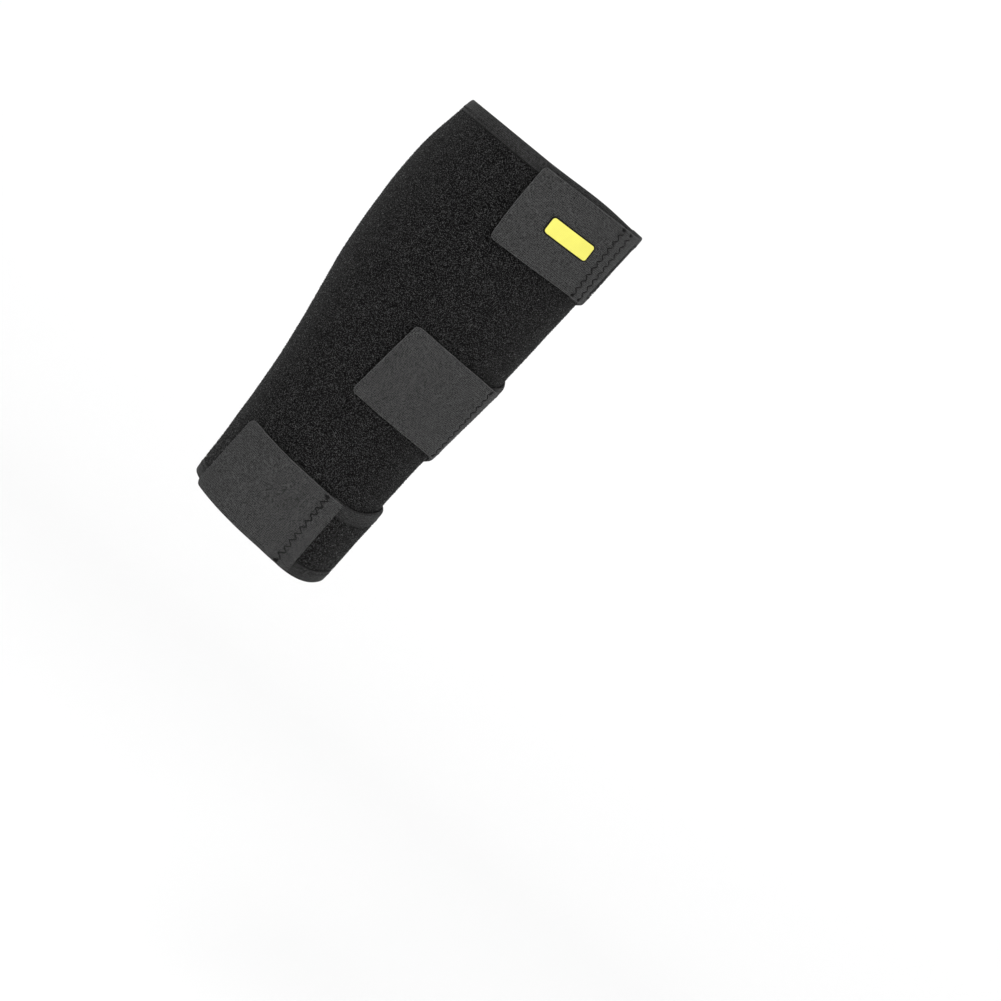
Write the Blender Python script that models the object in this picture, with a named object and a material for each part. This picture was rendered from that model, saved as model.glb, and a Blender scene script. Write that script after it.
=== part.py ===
"""A calf support wrap: one neoprene sheet rolled into a sleeve and closed by three strap wings.

The sheet starts on the hidden inner side near the front, goes once round the hollow past the outer side
and the back, passes over its own start and ends in three wings. A folded tape binds its whole edge.
Each wing carries a smooth tab with a hook patch below it, which grips the pile on the outer side.

Frame: metres, +Z towards the wide end, +X to the front, -Y to the outer side, origin on the hollow's
axis at half the wrap's height. A place on the wrap is a turn, in radians from the front towards the
outer side, and a height. A level is a distance out from the hollow's surface.
"""

from collections import namedtuple
from math import cos, pi, radians, sin, sqrt

import bmesh
import bpy
from mathutils import Vector

# Sizes of the hollow, and how full its back is
WRAP_HEIGHT = 0.270
HOLLOW_DEPTH = 0.1226
HOLLOW_WIDTH = 0.1120
BACK_FULLNESS = 0.07

# Sheet and binding
PANEL_THICKNESS = 0.0024
TAPE_WIDTH = 0.0085
TAPE_THICKNESS = 0.0004
GAP = 0.0003
LAYER_GAP = 0.0005

# Rims: the lower one drops towards the front and on both sides, the upper one stands a little above
# the last section, and the wings lie a little past the rims that they cover
LOWER_RIM_TILT = 0.0034
LOWER_RIM_DIP = 0.0021
LOWER_WING_DROP = 0.0016
LOWER_FRONT_RISE = 0.0038
LOWER_FRONT_DIP = 0.0012
UPPER_RIM_RISE = 0.0020
UPPER_WING_RISE = 0.0004
UPPER_RIM_SWELL = 0.0014
UPPER_SWELL_TURN = radians(56.0)

# Where the sheet's full thickness starts, where the sheet climbs over its start, where its wings
# begin, and how deep the bays between them are cut
COLUMN_TURN = radians(7.5)
START_TURN = radians(-45.0)
CLIMB_TURN = radians(18.0)
CLIMB_CLEARANCE = radians(1.5)
ROOT_TURN = radians(315.0)
BAY_TURN = radians(303.0)

# Wings and tabs
STRAP_WIDTH = 0.0530
WING_MARGIN = 0.0009
TAB_THICKNESS = 0.0012
TAB_RAMP = 0.0080
HOOK_THICKNESS = 0.0006
HOOK_INSET = 0.0005
UPPER_TAB_DROP = 0.0018
LOWER_TAB_RAISE = 0.0004
MIDDLE_STRAP_HEIGHT = -0.0115
MIDDLE_STRAP_CLIMB = 0.0030

# Label on the upper tab
LABEL_LENGTH = 0.0300
LABEL_HEIGHT = 0.0118
LABEL_THICKNESS = 0.0005
LABEL_CORNER = 0.0026
LABEL_RAISE = 0.0008
LABEL_START_TURN = radians(400.2)

# Mesh steps
ROW_STEP = 0.0235
BAY_ROW_STEP = 0.0115
TAB_ROW_STEP = 0.0135
CORNER_STEPS = 3

FULL_TURN = 2.0 * pi
TAPE_INSET = TAPE_WIDTH + GAP

# Shares of WRAP_HEIGHT, then of HOLLOW_DEPTH behind and before the axis, then of HOLLOW_WIDTH
Section = namedtuple("Section", "height back front width")
SECTIONS = (
    Section(0.00, 0.366, 0.370, 0.660),
    Section(0.15, 0.375, 0.386, 0.675),
    Section(0.30, 0.394, 0.402, 0.735),
    Section(0.45, 0.438, 0.437, 0.845),
    Section(0.60, 0.487, 0.471, 0.950),
    Section(0.75, 0.509, 0.493, 0.998),
    Section(0.88, 0.498, 0.508, 0.992),
    Section(1.00, 0.452, 0.524, 0.960),
)

# Shares of STRAP_WIDTH: the tab's height at the wing and at its free end, the corner radius there,
# and the tab's overlap on the wing. lean is the slope of the free end. turns holds degrees past the
# front: the wing's end, the tab's free end, and where the wing's lower and upper edges begin to spread
Strap = namedtuple("Strap", "name root_height height corner overlap lean turns")
Turns = namedtuple("Turns", "wing_end tab_end low_flare high_flare")
LOWER = Strap("lower", 0.953, 0.950, 0.085, 0.283, -0.113, Turns(68.0, 143.0, 0.0, 38.0))
MIDDLE = Strap("middle", 1.000, 1.000, 0.060, 0.283, -0.13, Turns(23.0, 90.8, 22.0, 35.0))
UPPER = Strap("upper", 0.947, 0.953, 0.053, 0.321, 0.10, Turns(33.5, 89.9, 2.0, 0.0))
STRAPS = (LOWER, MIDDLE, UPPER)

Finish = namedtuple("Finish", "colour roughness")
PILE = Finish((0.010, 0.010, 0.011), 0.95)
BINDING = Finish((0.022, 0.022, 0.024), 0.80)
SMOOTH_CLOTH = Finish((0.042, 0.042, 0.045), 0.70)
HOOK_TAPE = Finish((0.008, 0.008, 0.008), 0.55)
LABEL_CLOTH = Finish((0.90, 0.80, 0.10), 0.60)


# The hollow's surface


def section_value(height, column):
    """A column of the section table at a height, on a smooth curve through its rows."""
    share = height / WRAP_HEIGHT + 0.5
    rows = SECTIONS
    k = 0
    while k < len(rows) - 2 and share > rows[k + 1].height:
        k += 1
    here, there = rows[k], rows[k + 1]
    before = rows[max(k - 1, 0)]
    after = rows[min(k + 2, len(rows) - 1)]
    span = there.height - here.height
    start, end = getattr(here, column), getattr(there, column)
    leave = (end - getattr(before, column)) / (there.height - before.height) * span
    arrive = (getattr(after, column) - start) / (after.height - here.height) * span
    t = (share - here.height) / span
    if t < 0.0:
        return start + leave * t
    if t > 1.0:
        return end + arrive * (t - 1.0)
    chord = end - start
    return start + t * (leave + t * (3 * chord - 2 * leave - arrive + t * (leave + arrive - 2 * chord)))


def hollow(turn, height):
    """The hollow's surface: an egg section, narrow at the front and full at the back."""
    back = section_value(height, "back") * HOLLOW_DEPTH
    front = section_value(height, "front") * HOLLOW_DEPTH
    half_width = section_value(height, "width") * HOLLOW_WIDTH / 2
    x = (front - back) / 2 + (front + back) / 2 * cos(turn)
    y = -half_width * sin(turn) * (1.0 - BACK_FULLNESS * cos(turn))
    return Vector((x, y, height))


def on_wrap(turn, height, level):
    """The point at a level outside the hollow's surface."""
    small = 1e-4
    onwards = hollow(turn + small, height) - hollow(turn - small, height)
    upwards = hollow(turn, height + small) - hollow(turn, height - small)
    return hollow(turn, height) + upwards.cross(onwards).normalized() * level


def metres_per_turn(turn, height):
    """How far a point moves for each radian of turn."""
    small = 1e-4
    return (hollow(turn + small, height) - hollow(turn - small, height)).length / (2 * small)


def ease(t):
    """From 0 to 1 with a level start and end."""
    t = min(max(t, 0.0), 1.0)
    return t * t * (3.0 - 2.0 * t)


# Outlines of the sheet, its wings and the tabs


def on_wings(turn):
    """0 on the sheet's one turn round the hollow, and 1 on the wings that lie over its start."""
    return ease((turn - BAY_TURN) / (FULL_TURN - BAY_TURN))


def lower_rim(turn):
    drop = LOWER_RIM_TILT * cos(turn) + LOWER_RIM_DIP * sin(turn) ** 2
    front = max(cos(turn), 0.0)
    dip = LOWER_FRONT_DIP * (2.0 * front * max(sin(turn), 0.0)) ** 4
    turned_up = LOWER_FRONT_RISE * front**12 - dip
    return -WRAP_HEIGHT / 2 + LOWER_WING_DROP / 3 - drop + turned_up - LOWER_WING_DROP * on_wings(turn)


def upper_swell(turn):
    """The upper rim's low swell above the upper tab."""
    return UPPER_RIM_SWELL * max(cos(turn - UPPER_SWELL_TURN), 0.0) ** 10


def upper_rim(turn):
    return WRAP_HEIGHT / 2 + UPPER_RIM_RISE + UPPER_WING_RISE * on_wings(turn) + upper_swell(turn)


def middle_line(turn):
    return MIDDLE_STRAP_HEIGHT + MIDDLE_STRAP_CLIMB * (turn - FULL_TURN)


def past_front(degrees_past):
    """The turn of a place on the wings or tabs, which lie over the sheet's own start."""
    return FULL_TURN + radians(degrees_past)


def tab_edges(strap, turn):
    """Lower and upper edge of a strap's tab at a turn."""
    start, end = past_front(strap.turns.wing_end), past_front(strap.turns.tab_end)
    share = min(max((turn - start) / (end - start), 0.0), 1.0)
    tall = STRAP_WIDTH * (strap.root_height + (strap.height - strap.root_height) * share)
    if strap is LOWER:
        low = lower_rim(turn) + LOWER_TAB_RAISE
        return low, low + tall
    if strap is UPPER:
        high = upper_rim(turn) - upper_swell(turn) - UPPER_TAB_DROP * (1.0 + share)
        return high - tall, high
    middle = middle_line(turn)
    return middle - tall / 2, middle + tall / 2


def wing_edges(strap, turn):
    """Lower and upper edge of the full-thickness part of a wing, before it spreads."""
    low, high = tab_edges(strap, turn)
    low = lower_rim(turn) if strap is LOWER else low - WING_MARGIN
    high = upper_rim(turn) if strap is UPPER else high + WING_MARGIN
    return low + TAPE_INSET, high - TAPE_INSET


def bay_size(below, above):
    """Middle height and half height of the bay between two wings."""
    low = wing_edges(below, BAY_TURN)[1]
    high = wing_edges(above, BAY_TURN)[0]
    return (low + high) / 2, (high - low) / 2


def spread_edges(strap, turn):
    """Edges of a wing's full-thickness part, spread along an oval towards the bays at its root."""
    low, high = wing_edges(strap, turn)

    def spread(start, half):
        left = (past_front(start) - turn) / (past_front(start) - BAY_TURN)
        return half * (1.0 - sqrt(1.0 - max(left, 0.0) ** 2))

    k = STRAPS.index(strap)
    if k > 0:
        low -= spread(strap.turns.low_flare, bay_size(STRAPS[k - 1], strap)[1])
    if k < len(STRAPS) - 1:
        high += spread(strap.turns.high_flare, bay_size(strap, STRAPS[k + 1])[1])
    return low, high


def body_end(height):
    """Where the sheet's full thickness ends at a height: at the wings' root, or in a bay."""
    for below, above in zip(STRAPS, STRAPS[1:]):
        middle, half = bay_size(below, above)
        off = min(abs(height - middle) / half, 1.0)
        start = past_front(above.turns.low_flare if height > middle else below.turns.high_flare)
        end = start - sqrt(1.0 - off**2) * (start - BAY_TURN)
        if end < ROOT_TURN:
            return end
    return ROOT_TURN


def sheet_level(turn):
    """Level of the sheet's inner face: on the hollow, then up over the sheet's own start."""
    scale = metres_per_turn(START_TURN, 0.0)
    full = START_TURN - TAPE_INSET / scale + FULL_TURN - CLIMB_CLEARANCE
    return (PANEL_THICKNESS + LAYER_GAP) * ease((turn - full + CLIMB_TURN) / CLIMB_TURN)


def tab_level(strap, turn):
    """Level of a tab's inner face: on its wing, then down to the hook patch."""
    on_wing = 2 * (PANEL_THICKNESS + LAYER_GAP)
    on_hook = PANEL_THICKNESS + LAYER_GAP + HOOK_THICKNESS + GAP
    middle = sum(tab_edges(strap, turn)) / 2
    past = (turn - past_front(strap.turns.wing_end)) * metres_per_turn(turn, middle) - GAP
    return on_wing + (on_hook - on_wing) * ease(past / TAB_RAMP)


# Solids


class Solid:
    """Collects the corners and faces of one closed body on the wrap."""

    def __init__(self):
        self.points = []
        self.turns = []
        self.faces = []
        self.known = {}

    def corner(self, turn, height, level):
        place = (turn, height, level)
        if place not in self.known:
            self.known[place] = len(self.points)
            self.points.append(on_wrap(turn, height, level))
            self.turns.append(turn)
        return self.known[place]

    def quad(self, a, b, c, d):
        """Two triangles, split along the diagonal that keeps closer to the round of the wrap."""
        if abs(self.turns[a] - self.turns[c]) <= abs(self.turns[b] - self.turns[d]):
            halves = ((a, b, c), (a, c, d))
        else:
            halves = ((b, c, d), (b, d, a))
        self.faces += [half for half in halves if len(set(half)) == 3]

    def band(self, near, far):
        """Joins two closed rows of corners."""
        for k in range(len(near)):
            after = (k + 1) % len(near)
            self.quad(near[k], near[after], far[after], far[k])

    def finish(self, name, look, parent):
        mesh = bpy.data.meshes.new(name)
        mesh.from_pydata(self.points, [], self.faces)
        shape = bmesh.new()
        shape.from_mesh(mesh)
        bmesh.ops.recalc_face_normals(shape, faces=shape.faces)
        shape.to_mesh(mesh)
        shape.free()
        mesh.shade_smooth()
        mesh.set_sharp_from_angle(angle=radians(40.0))
        mesh.materials.append(look)
        made = bpy.data.objects.new(name, mesh)
        bpy.context.scene.collection.objects.link(made)
        made.parent = parent
        return made


def material(name, finish):
    made = bpy.data.materials.new(name)
    made.use_nodes = True
    shader = made.node_tree.nodes["Principled BSDF"]
    shader.inputs["Base Color"].default_value = (*finish.colour, 1.0)
    shader.inputs["Roughness"].default_value = finish.roughness
    shader.inputs["Metallic"].default_value = 0.0
    return made


def outline_of(cells):
    """The grid corners round a set of cells, in order, with the cells on the left."""
    sides = set()
    for i, j in cells:
        ring = ((i, j), (i + 1, j), (i + 1, j + 1), (i, j + 1))
        sides.update(zip(ring, ring[1:] + ring[:1]))
    follows = {a: b for a, b in sides if (b, a) not in sides}
    loop = [min(follows)]
    while follows[loop[-1]] != loop[0]:
        loop.append(follows[loop[-1]])
    return loop


def moved_out(loop, distance):
    """A closed loop of (turn, height) places moved outwards by a distance.

    A corner becomes a mitre, and a sharp outer corner gets a point on either side of its mitre too.
    """
    moved = []
    for before, here, after in zip(loop[-1:] + loop[:-1], loop, loop[1:] + loop[:1]):
        scale = metres_per_turn(*here)
        arrive = Vector(((here[0] - before[0]) * scale, here[1] - before[1])).normalized()
        leave = Vector(((after[0] - here[0]) * scale, after[1] - here[1])).normalized()
        out_a, out_b = Vector((arrive.y, -arrive.x)), Vector((leave.y, -leave.x))
        mitre = (out_a + out_b) / (1.0 + out_a.dot(out_b))
        sharp = arrive.cross(leave) > 0.8
        for way in (out_a, mitre, out_b) if sharp else (mitre,):
            moved.append((here[0] + way.x * distance / scale, here[1] + way.y * distance))
    return moved


def base_turns(start, end, fixed=()):
    """Shared column turns between two turns, clear of the ends and of the fixed ones."""
    first, last = round(start / COLUMN_TURN), round(end / COLUMN_TURN)
    shared = [k * COLUMN_TURN for k in range(first, last + 1)]
    kept = (start, end, *fixed)
    return [turn for turn in shared if start < turn < end
            and min(abs(turn - other) for other in kept) > 0.2 * COLUMN_TURN]


def sheet_grid():
    """Places of the sheet's full-thickness part, up to its binding, and the cells between them."""
    roots = [edge for strap in STRAPS for edge in spread_edges(strap, ROOT_TURN)]
    steps = [ROW_STEP, BAY_ROW_STEP, ROW_STEP, BAY_ROW_STEP, ROW_STEP]
    counts = [round((high - low) / step) for low, high, step in zip(roots, roots[1:], steps)]
    first_rows = [sum(counts[:k]) for k in range(len(roots))]
    last_row = first_rows[-1]
    columns = round((ROOT_TURN - START_TURN) / COLUMN_TURN)
    last_shared = round((BAY_TURN - START_TURN) / COLUMN_TURN) - 2

    def row_height(turn, row):
        ends = [lower_rim(turn) + TAPE_INSET] + roots[1:-1] + [upper_rim(turn) - TAPE_INSET]
        k = 0
        while k < len(counts) - 1 and row > first_rows[k + 1]:
            k += 1
        share = (row - first_rows[k]) / counts[k]
        return ends[k] + (ends[k + 1] - ends[k]) * share

    places, cells = {}, set()
    for i in range(columns + 1):
        for row in range(last_row + 1):
            turn = START_TURN + i * COLUMN_TURN
            height = row_height(turn, row)
            if i > last_shared:
                shared = START_TURN + last_shared * COLUMN_TURN
                share = (i - last_shared) / (columns - last_shared)
                turn = shared + (body_end(height) - shared) * share
            places[i, row] = (turn, height)
            if i < columns and row < last_row:
                cells.add((i, row))

    for k, strap in enumerate(STRAPS):
        first, last = first_rows[2 * k], first_rows[2 * k + 1]
        wing_end = past_front(strap.turns.wing_end)
        end = wing_end - TAPE_INSET / metres_per_turn(wing_end, places[columns, first][1])
        turns = base_turns(ROOT_TURN, end) + [end]
        for i, turn in enumerate(turns):
            low, high = spread_edges(strap, turn)
            for row in range(first, last + 1):
                height = low + (high - low) * (row - first) / (last - first)
                places[columns + 1 + i, row] = (turn, height)
                if row < last:
                    cells.add((columns + i, row))
    return places, cells


def build_sheet(parent):
    """The neoprene sheet with its wings, and the tape folded over its edge."""
    places, cells = sheet_grid()
    outline = [places[key] for key in outline_of(cells)]
    edge = moved_out(outline, 0.0)
    seat = TAPE_THICKNESS + GAP
    fold = TAPE_WIDTH - TAPE_THICKNESS
    halfway = moved_out(outline, fold / 2)
    raw_edge = moved_out(outline, fold)

    sheet = Solid()

    def at(place, level):
        return sheet.corner(*place, sheet_level(place[0]) + level)

    for i, j in sorted(cells):
        ring = [places[i, j], places[i, j + 1], places[i + 1, j + 1], places[i + 1, j]]
        sheet.quad(*[at(place, PANEL_THICKNESS) for place in ring])
        sheet.quad(*[at(place, 0.0) for place in reversed(ring)])
    section = (
        (edge, PANEL_THICKNESS),
        (edge, PANEL_THICKNESS - seat),
        (halfway, PANEL_THICKNESS - seat),
        (raw_edge, PANEL_THICKNESS - seat),
        (raw_edge, seat),
        (halfway, seat),
        (edge, seat),
        (edge, 0.0),
    )
    rows = [[at(place, level) for place in loop] for loop, level in section]
    for near, far in zip(rows, rows[1:]):
        sheet.band(near, far)
    sheet.finish("calf_panel", material("pile_neoprene", PILE), parent)

    tape = Solid()
    start = moved_out(outline, GAP)
    middle = moved_out(outline, GAP + fold / 2)
    inner_fold = moved_out(outline, GAP + fold)
    outer_fold = moved_out(outline, GAP + TAPE_WIDTH)
    top, below_top = PANEL_THICKNESS, PANEL_THICKNESS - TAPE_THICKNESS
    foot, above_foot = 0.0, TAPE_THICKNESS
    section = (
        (start, top),
        (middle, top),
        (outer_fold, top),
        (outer_fold, foot),
        (middle, foot),
        (start, foot),
        (start, above_foot),
        (middle, above_foot),
        (inner_fold, above_foot),
        (inner_fold, below_top),
        (middle, below_top),
        (start, below_top),
    )
    rows = [
        [tape.corner(*place, sheet_level(place[0]) + level) for place in loop]
        for loop, level in section
    ]
    for near, far in zip(rows, rows[1:] + rows[:1]):
        tape.band(near, far)
    tape.finish("edge_tape", material("edge_tape", BINDING), parent)


def corner_inset(distance, radius):
    """How far a rounded corner draws the edge in, at a distance from the end."""
    if distance >= radius:
        return 0.0
    return radius - sqrt(max(radius**2 - (radius - distance) ** 2, 0.0))


Patch = namedtuple("Patch", "name turns edges level thickness lean near_corner far_corner bends look")


def build_patch(patch, parent):
    """A thin sheet between two turns, with corners rounded at either end and a leaning far end.

    edges(turn) gives its lower and upper edge, level(turn) its inner face, and bends the turns where
    its level changes.
    """
    start, end = patch.turns
    scale = metres_per_turn(end, sum(patch.edges(end)) / 2)
    shares = [1.0 - cos(pi / 2 * k / CORNER_STEPS) for k in range(CORNER_STEPS + 1)]
    near = [start + patch.near_corner / scale * share for share in shares]
    far = [end - patch.far_corner / scale * share for share in shares]
    ends = {start, end, *near, *far, *patch.bends}
    columns = sorted(ends | set(base_turns(max(near), min(far), patch.bends)))
    low, high = patch.edges(start)
    rows = max(round((high - low) / TAB_ROW_STEP), 2)

    def place(turn, row):
        low, high = patch.edges(turn)
        inset = corner_inset((turn - start) * scale, patch.near_corner)
        inset += corner_inset((end - turn) * scale, patch.far_corner)
        low, high = low + inset, high - inset
        height = low + (high - low) * row / rows
        leant = patch.lean * ease((turn - start) / (end - start)) * (height - (low + high) / 2)
        return turn + leant / scale, height

    body = Solid()
    grid = [[place(turn, row) for row in range(rows + 1)] for turn in columns]

    def at(i, j, lift):
        turn, height = grid[i][j]
        return body.corner(turn, height, patch.level(turn) + lift)

    last = len(columns) - 1
    for i in range(last):
        for j in range(rows):
            ring = ((i, j), (i, j + 1), (i + 1, j + 1), (i + 1, j))
            body.quad(*[at(*key, patch.thickness) for key in ring])
            body.quad(*[at(*key, 0.0) for key in reversed(ring)])
    rim = [(i, 0) for i in range(last)] + [(last, j) for j in range(rows)]
    rim += [(i, rows) for i in range(last, 0, -1)] + [(0, j) for j in range(rows, 0, -1)]
    body.band([at(*key, patch.thickness) for key in rim], [at(*key, 0.0) for key in rim])
    return body.finish(patch.name, patch.look, parent)


def build_tab(strap, looks, parent):
    """A strap's smooth tab, and the hook patch below it."""
    wing_end, end = past_front(strap.turns.wing_end), past_front(strap.turns.tab_end)
    scale = metres_per_turn(wing_end, sum(tab_edges(strap, wing_end)) / 2)
    ramp = [wing_end + (GAP + TAB_RAMP * share) / scale for share in (0.0, 0.25, 0.5, 0.75, 1.0)]
    start = wing_end - STRAP_WIDTH * strap.overlap / scale
    corner = STRAP_WIDTH * strap.corner
    hook_end = end - HOOK_INSET / metres_per_turn(end, sum(tab_edges(strap, end)) / 2)

    def edges(turn):
        return tab_edges(strap, turn)

    def level(turn):
        return tab_level(strap, turn)

    def hook_edges(turn):
        low, high = tab_edges(strap, turn)
        return low + HOOK_INSET, high - HOOK_INSET

    def hook_level(_turn):
        return PANEL_THICKNESS + LAYER_GAP

    tab = Patch(
        name=strap.name + "_tab",
        turns=(start, end),
        edges=edges,
        level=level,
        thickness=TAB_THICKNESS,
        lean=strap.lean,
        near_corner=0.0,
        far_corner=corner,
        bends=ramp,
        look=looks["tab"],
    )
    hook = Patch(
        name=strap.name + "_hook",
        turns=(ramp[-1], hook_end),
        edges=hook_edges,
        level=hook_level,
        thickness=HOOK_THICKNESS,
        lean=strap.lean,
        near_corner=0.0,
        far_corner=corner - HOOK_INSET,
        bends=(),
        look=looks["hook"],
    )
    build_patch(tab, parent)
    build_patch(hook, parent)


def build_label(looks, parent):
    """The woven label on the upper tab."""
    middle = sum(tab_edges(UPPER, LABEL_START_TURN)) / 2
    end = LABEL_START_TURN + LABEL_LENGTH / metres_per_turn(LABEL_START_TURN, middle)

    def edges(turn):
        centre = sum(tab_edges(UPPER, turn)) / 2 + LABEL_RAISE
        return centre - LABEL_HEIGHT / 2, centre + LABEL_HEIGHT / 2

    def level(turn):
        return tab_level(UPPER, turn) + TAB_THICKNESS + GAP

    label = Patch(
        name="label",
        turns=(LABEL_START_TURN, end),
        edges=edges,
        level=level,
        thickness=LABEL_THICKNESS,
        lean=0.0,
        near_corner=LABEL_CORNER,
        far_corner=LABEL_CORNER,
        bends=(),
        look=looks["label"],
    )
    build_patch(label, parent)


def main():
    for old in list(bpy.data.objects):
        bpy.data.objects.remove(old)
    wrap = bpy.data.objects.new("calf_wrap", None)
    bpy.context.scene.collection.objects.link(wrap)
    looks = {
        "tab": material("smooth_cloth", SMOOTH_CLOTH),
        "hook": material("hook_tape", HOOK_TAPE),
        "label": material("label_cloth", LABEL_CLOTH),
    }
    build_sheet(wrap)
    for strap in STRAPS:
        build_tab(strap, looks, wrap)
    build_label(looks, wrap)


main()
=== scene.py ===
from collections import namedtuple
from math import cos, pi, radians, sin

import bpy
import numpy as np
from mathutils import Matrix, Vector


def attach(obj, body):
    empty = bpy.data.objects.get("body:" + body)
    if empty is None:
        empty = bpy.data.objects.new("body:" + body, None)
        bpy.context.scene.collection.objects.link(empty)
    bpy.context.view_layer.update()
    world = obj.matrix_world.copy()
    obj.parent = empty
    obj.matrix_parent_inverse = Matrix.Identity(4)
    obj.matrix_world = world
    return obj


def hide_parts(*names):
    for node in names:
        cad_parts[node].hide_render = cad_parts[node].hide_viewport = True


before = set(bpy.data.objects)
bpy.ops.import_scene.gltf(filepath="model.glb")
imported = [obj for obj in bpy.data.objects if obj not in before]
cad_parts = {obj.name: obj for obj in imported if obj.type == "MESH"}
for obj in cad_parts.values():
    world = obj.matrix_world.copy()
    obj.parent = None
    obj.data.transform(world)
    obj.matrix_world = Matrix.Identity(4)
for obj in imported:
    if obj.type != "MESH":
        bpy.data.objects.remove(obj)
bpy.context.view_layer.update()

# Lengths are in metres and turns in radians. The places on a strap and the label's start are in degrees
# past the front.

# The hollow, as in the solids
WRAP_HEIGHT = 0.270
HOLLOW_DEPTH = 0.1226
HOLLOW_WIDTH = 0.1120
BACK_FULLNESS = 0.07

# Sheet, binding and layers
PANEL_THICKNESS = 0.0024
TAPE_INSET = 0.0088
LAYER_GAP = 0.0005

LOWER_RIM_TILT = 0.0034
LOWER_RIM_DIP = 0.0021
LOWER_WING_DROP = 0.0016
LOWER_FRONT_RISE = 0.0038
LOWER_FRONT_DIP = 0.0012
UPPER_RIM_RISE = 0.0020
UPPER_WING_RISE = 0.0004
UPPER_RIM_SWELL = 0.0014
UPPER_SWELL_TURN = radians(56.0)

START_TURN = radians(-45.0)
CLIMB_TURN = radians(18.0)
CLIMB_CLEARANCE = radians(1.5)
ROOT_TURN = radians(315.0)
BAY_TURN = radians(303.0)
FULL_TURN = 2.0 * pi

# Wings, tabs and label
STRAP_WIDTH = 0.0530
WING_MARGIN = 0.0009
TAB_THICKNESS = 0.0012
TAB_RAMP = 0.0080
HOOK_THICKNESS = 0.0006
HOOK_INSET = 0.0005
HOOK_GAP = 0.0003
UPPER_TAB_DROP = 0.0018
LOWER_TAB_RAISE = 0.0004
MIDDLE_STRAP_HEIGHT = -0.0115
MIDDLE_STRAP_CLIMB = 0.0030
LABEL_LENGTH = 0.0314
LABEL_HEIGHT = 0.0118
LABEL_CORNER = 0.0026
LABEL_BORDER = 0.00085
LABEL_RAISE = 0.0008
LABEL_START = 39.5
LABEL_LEAN = 0.11
LABEL_THICKNESS = 0.00045
LABEL_GAP = 0.0001
FIELD_THICKNESS = 0.0003

# Unevenness of the sheet's outer face, with a faint lengthwise ridge near its front
SLOW_RELIEF = 0.00025
QUICK_RELIEF = 0.00008
RIDGE_HEIGHT = 0.00035
RIDGE_TURN = radians(41.0)
RIDGE_WIDTH = radians(2.2)
EDGE_SINK = 0.0004

# The sheet's thinned border, under the binding: distance out from the edge, and level over the inner face
BORDER_SECTION = (
    (0.0008, PANEL_THICKNESS - 0.0007),
    (0.0070, PANEL_THICKNESS - 0.0008),
    (0.0070, 0.0008),
    (0.0008, 0.0007),
)

# Unevenness of the tabs, and the painted highlight along their edges
TAB_WAVE = 0.00010
PUFF_HEIGHT = 0.00016
PUFF_WIDTH = 0.0030
GROOVE_DEPTH = 0.00034
GROOVE_WIDTH = 0.00055
GROOVE_SLANT = 0.51
HIGHLIGHT_WIDTH = 0.00045
HIGHLIGHT_START = 0.002

# Mesh steps
COLUMN_TURN = radians(1.5)
ROW_STEP = 0.0026
CLOTH_STEP = 0.0007
EDGE_STEPS = (0.0, 0.0001, 0.00025, 0.0005, 0.0009)
EASED_COLUMNS = 12
SHARP_CORNER = 0.8
CORNER_BULGE = 1.12
TURN_RADIUS = 0.055  # metres of the cloth's UV map for a radian

# Thread
THREAD_RADIUS = 0.00030
STITCH_PITCH = 0.0048
STITCH_WIDTH = 0.0033
STITCH_MARGIN = 0.0012
STITCH_SINK = 0.9 * THREAD_RADIUS
STITCH_POINTS = 5
THREAD_BED = 0.00018
TACK_MARGIN = 0.0009
TACK_STEP = 0.0005
SEAMS = {"upper": (0.0015, 0.0092), "middle": (0.0024,), "lower": (0.0037,)}
SEAM_LEAN = {"upper": 0.105, "middle": 0.07, "lower": 0.02}
TAPE_THREAD_RADIUS = 0.00013
TAPE_STITCH = 0.0017
TAPE_STITCH_ROWS = (0.0011, 0.0036)
TAPE_STITCH_RISE = 0.00012

# Loops that stand out of the pile
LOOPS = 46000
LOOP_LENGTHS = (0.00035, 0.00080)
LOOP_WIDTH = 0.00030
LOOP_HEIGHTS = (0.00020, 0.00042)
LOOP_SINK = 0.00008

# The hollow's sections: shares of the height, the depth to the back and to the front, and the width
SECTIONS = np.array((
    (0.00, 0.366, 0.370, 0.660),
    (0.15, 0.375, 0.386, 0.675),
    (0.30, 0.394, 0.402, 0.735),
    (0.45, 0.438, 0.437, 0.845),
    (0.60, 0.487, 0.471, 0.950),
    (0.75, 0.509, 0.493, 0.998),
    (0.88, 0.498, 0.508, 0.992),
    (1.00, 0.452, 0.524, 0.960),
))

Strap = namedtuple(
    "Strap", "name root_height height corner overlap lean wing_end tab_end low_flare high_flare"
)
# The heights, corner and overlap are shares of STRAP_WIDTH, and the last four are in degrees past the front
LOWER = Strap("lower", 0.953, 0.950, 0.085, 0.255, -0.113, 68.0, 143.0, 0.0, 38.0)
MIDDLE = Strap("middle", 1.000, 1.000, 0.060, 0.160, -0.13, 23.0, 90.8, 22.0, 35.0)
UPPER = Strap("upper", 0.947, 0.953, 0.053, 0.321, 0.10, 33.5, 89.9, 2.0, 0.0)
STRAPS = (LOWER, MIDDLE, UPPER)


# The hollow's surface


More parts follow.
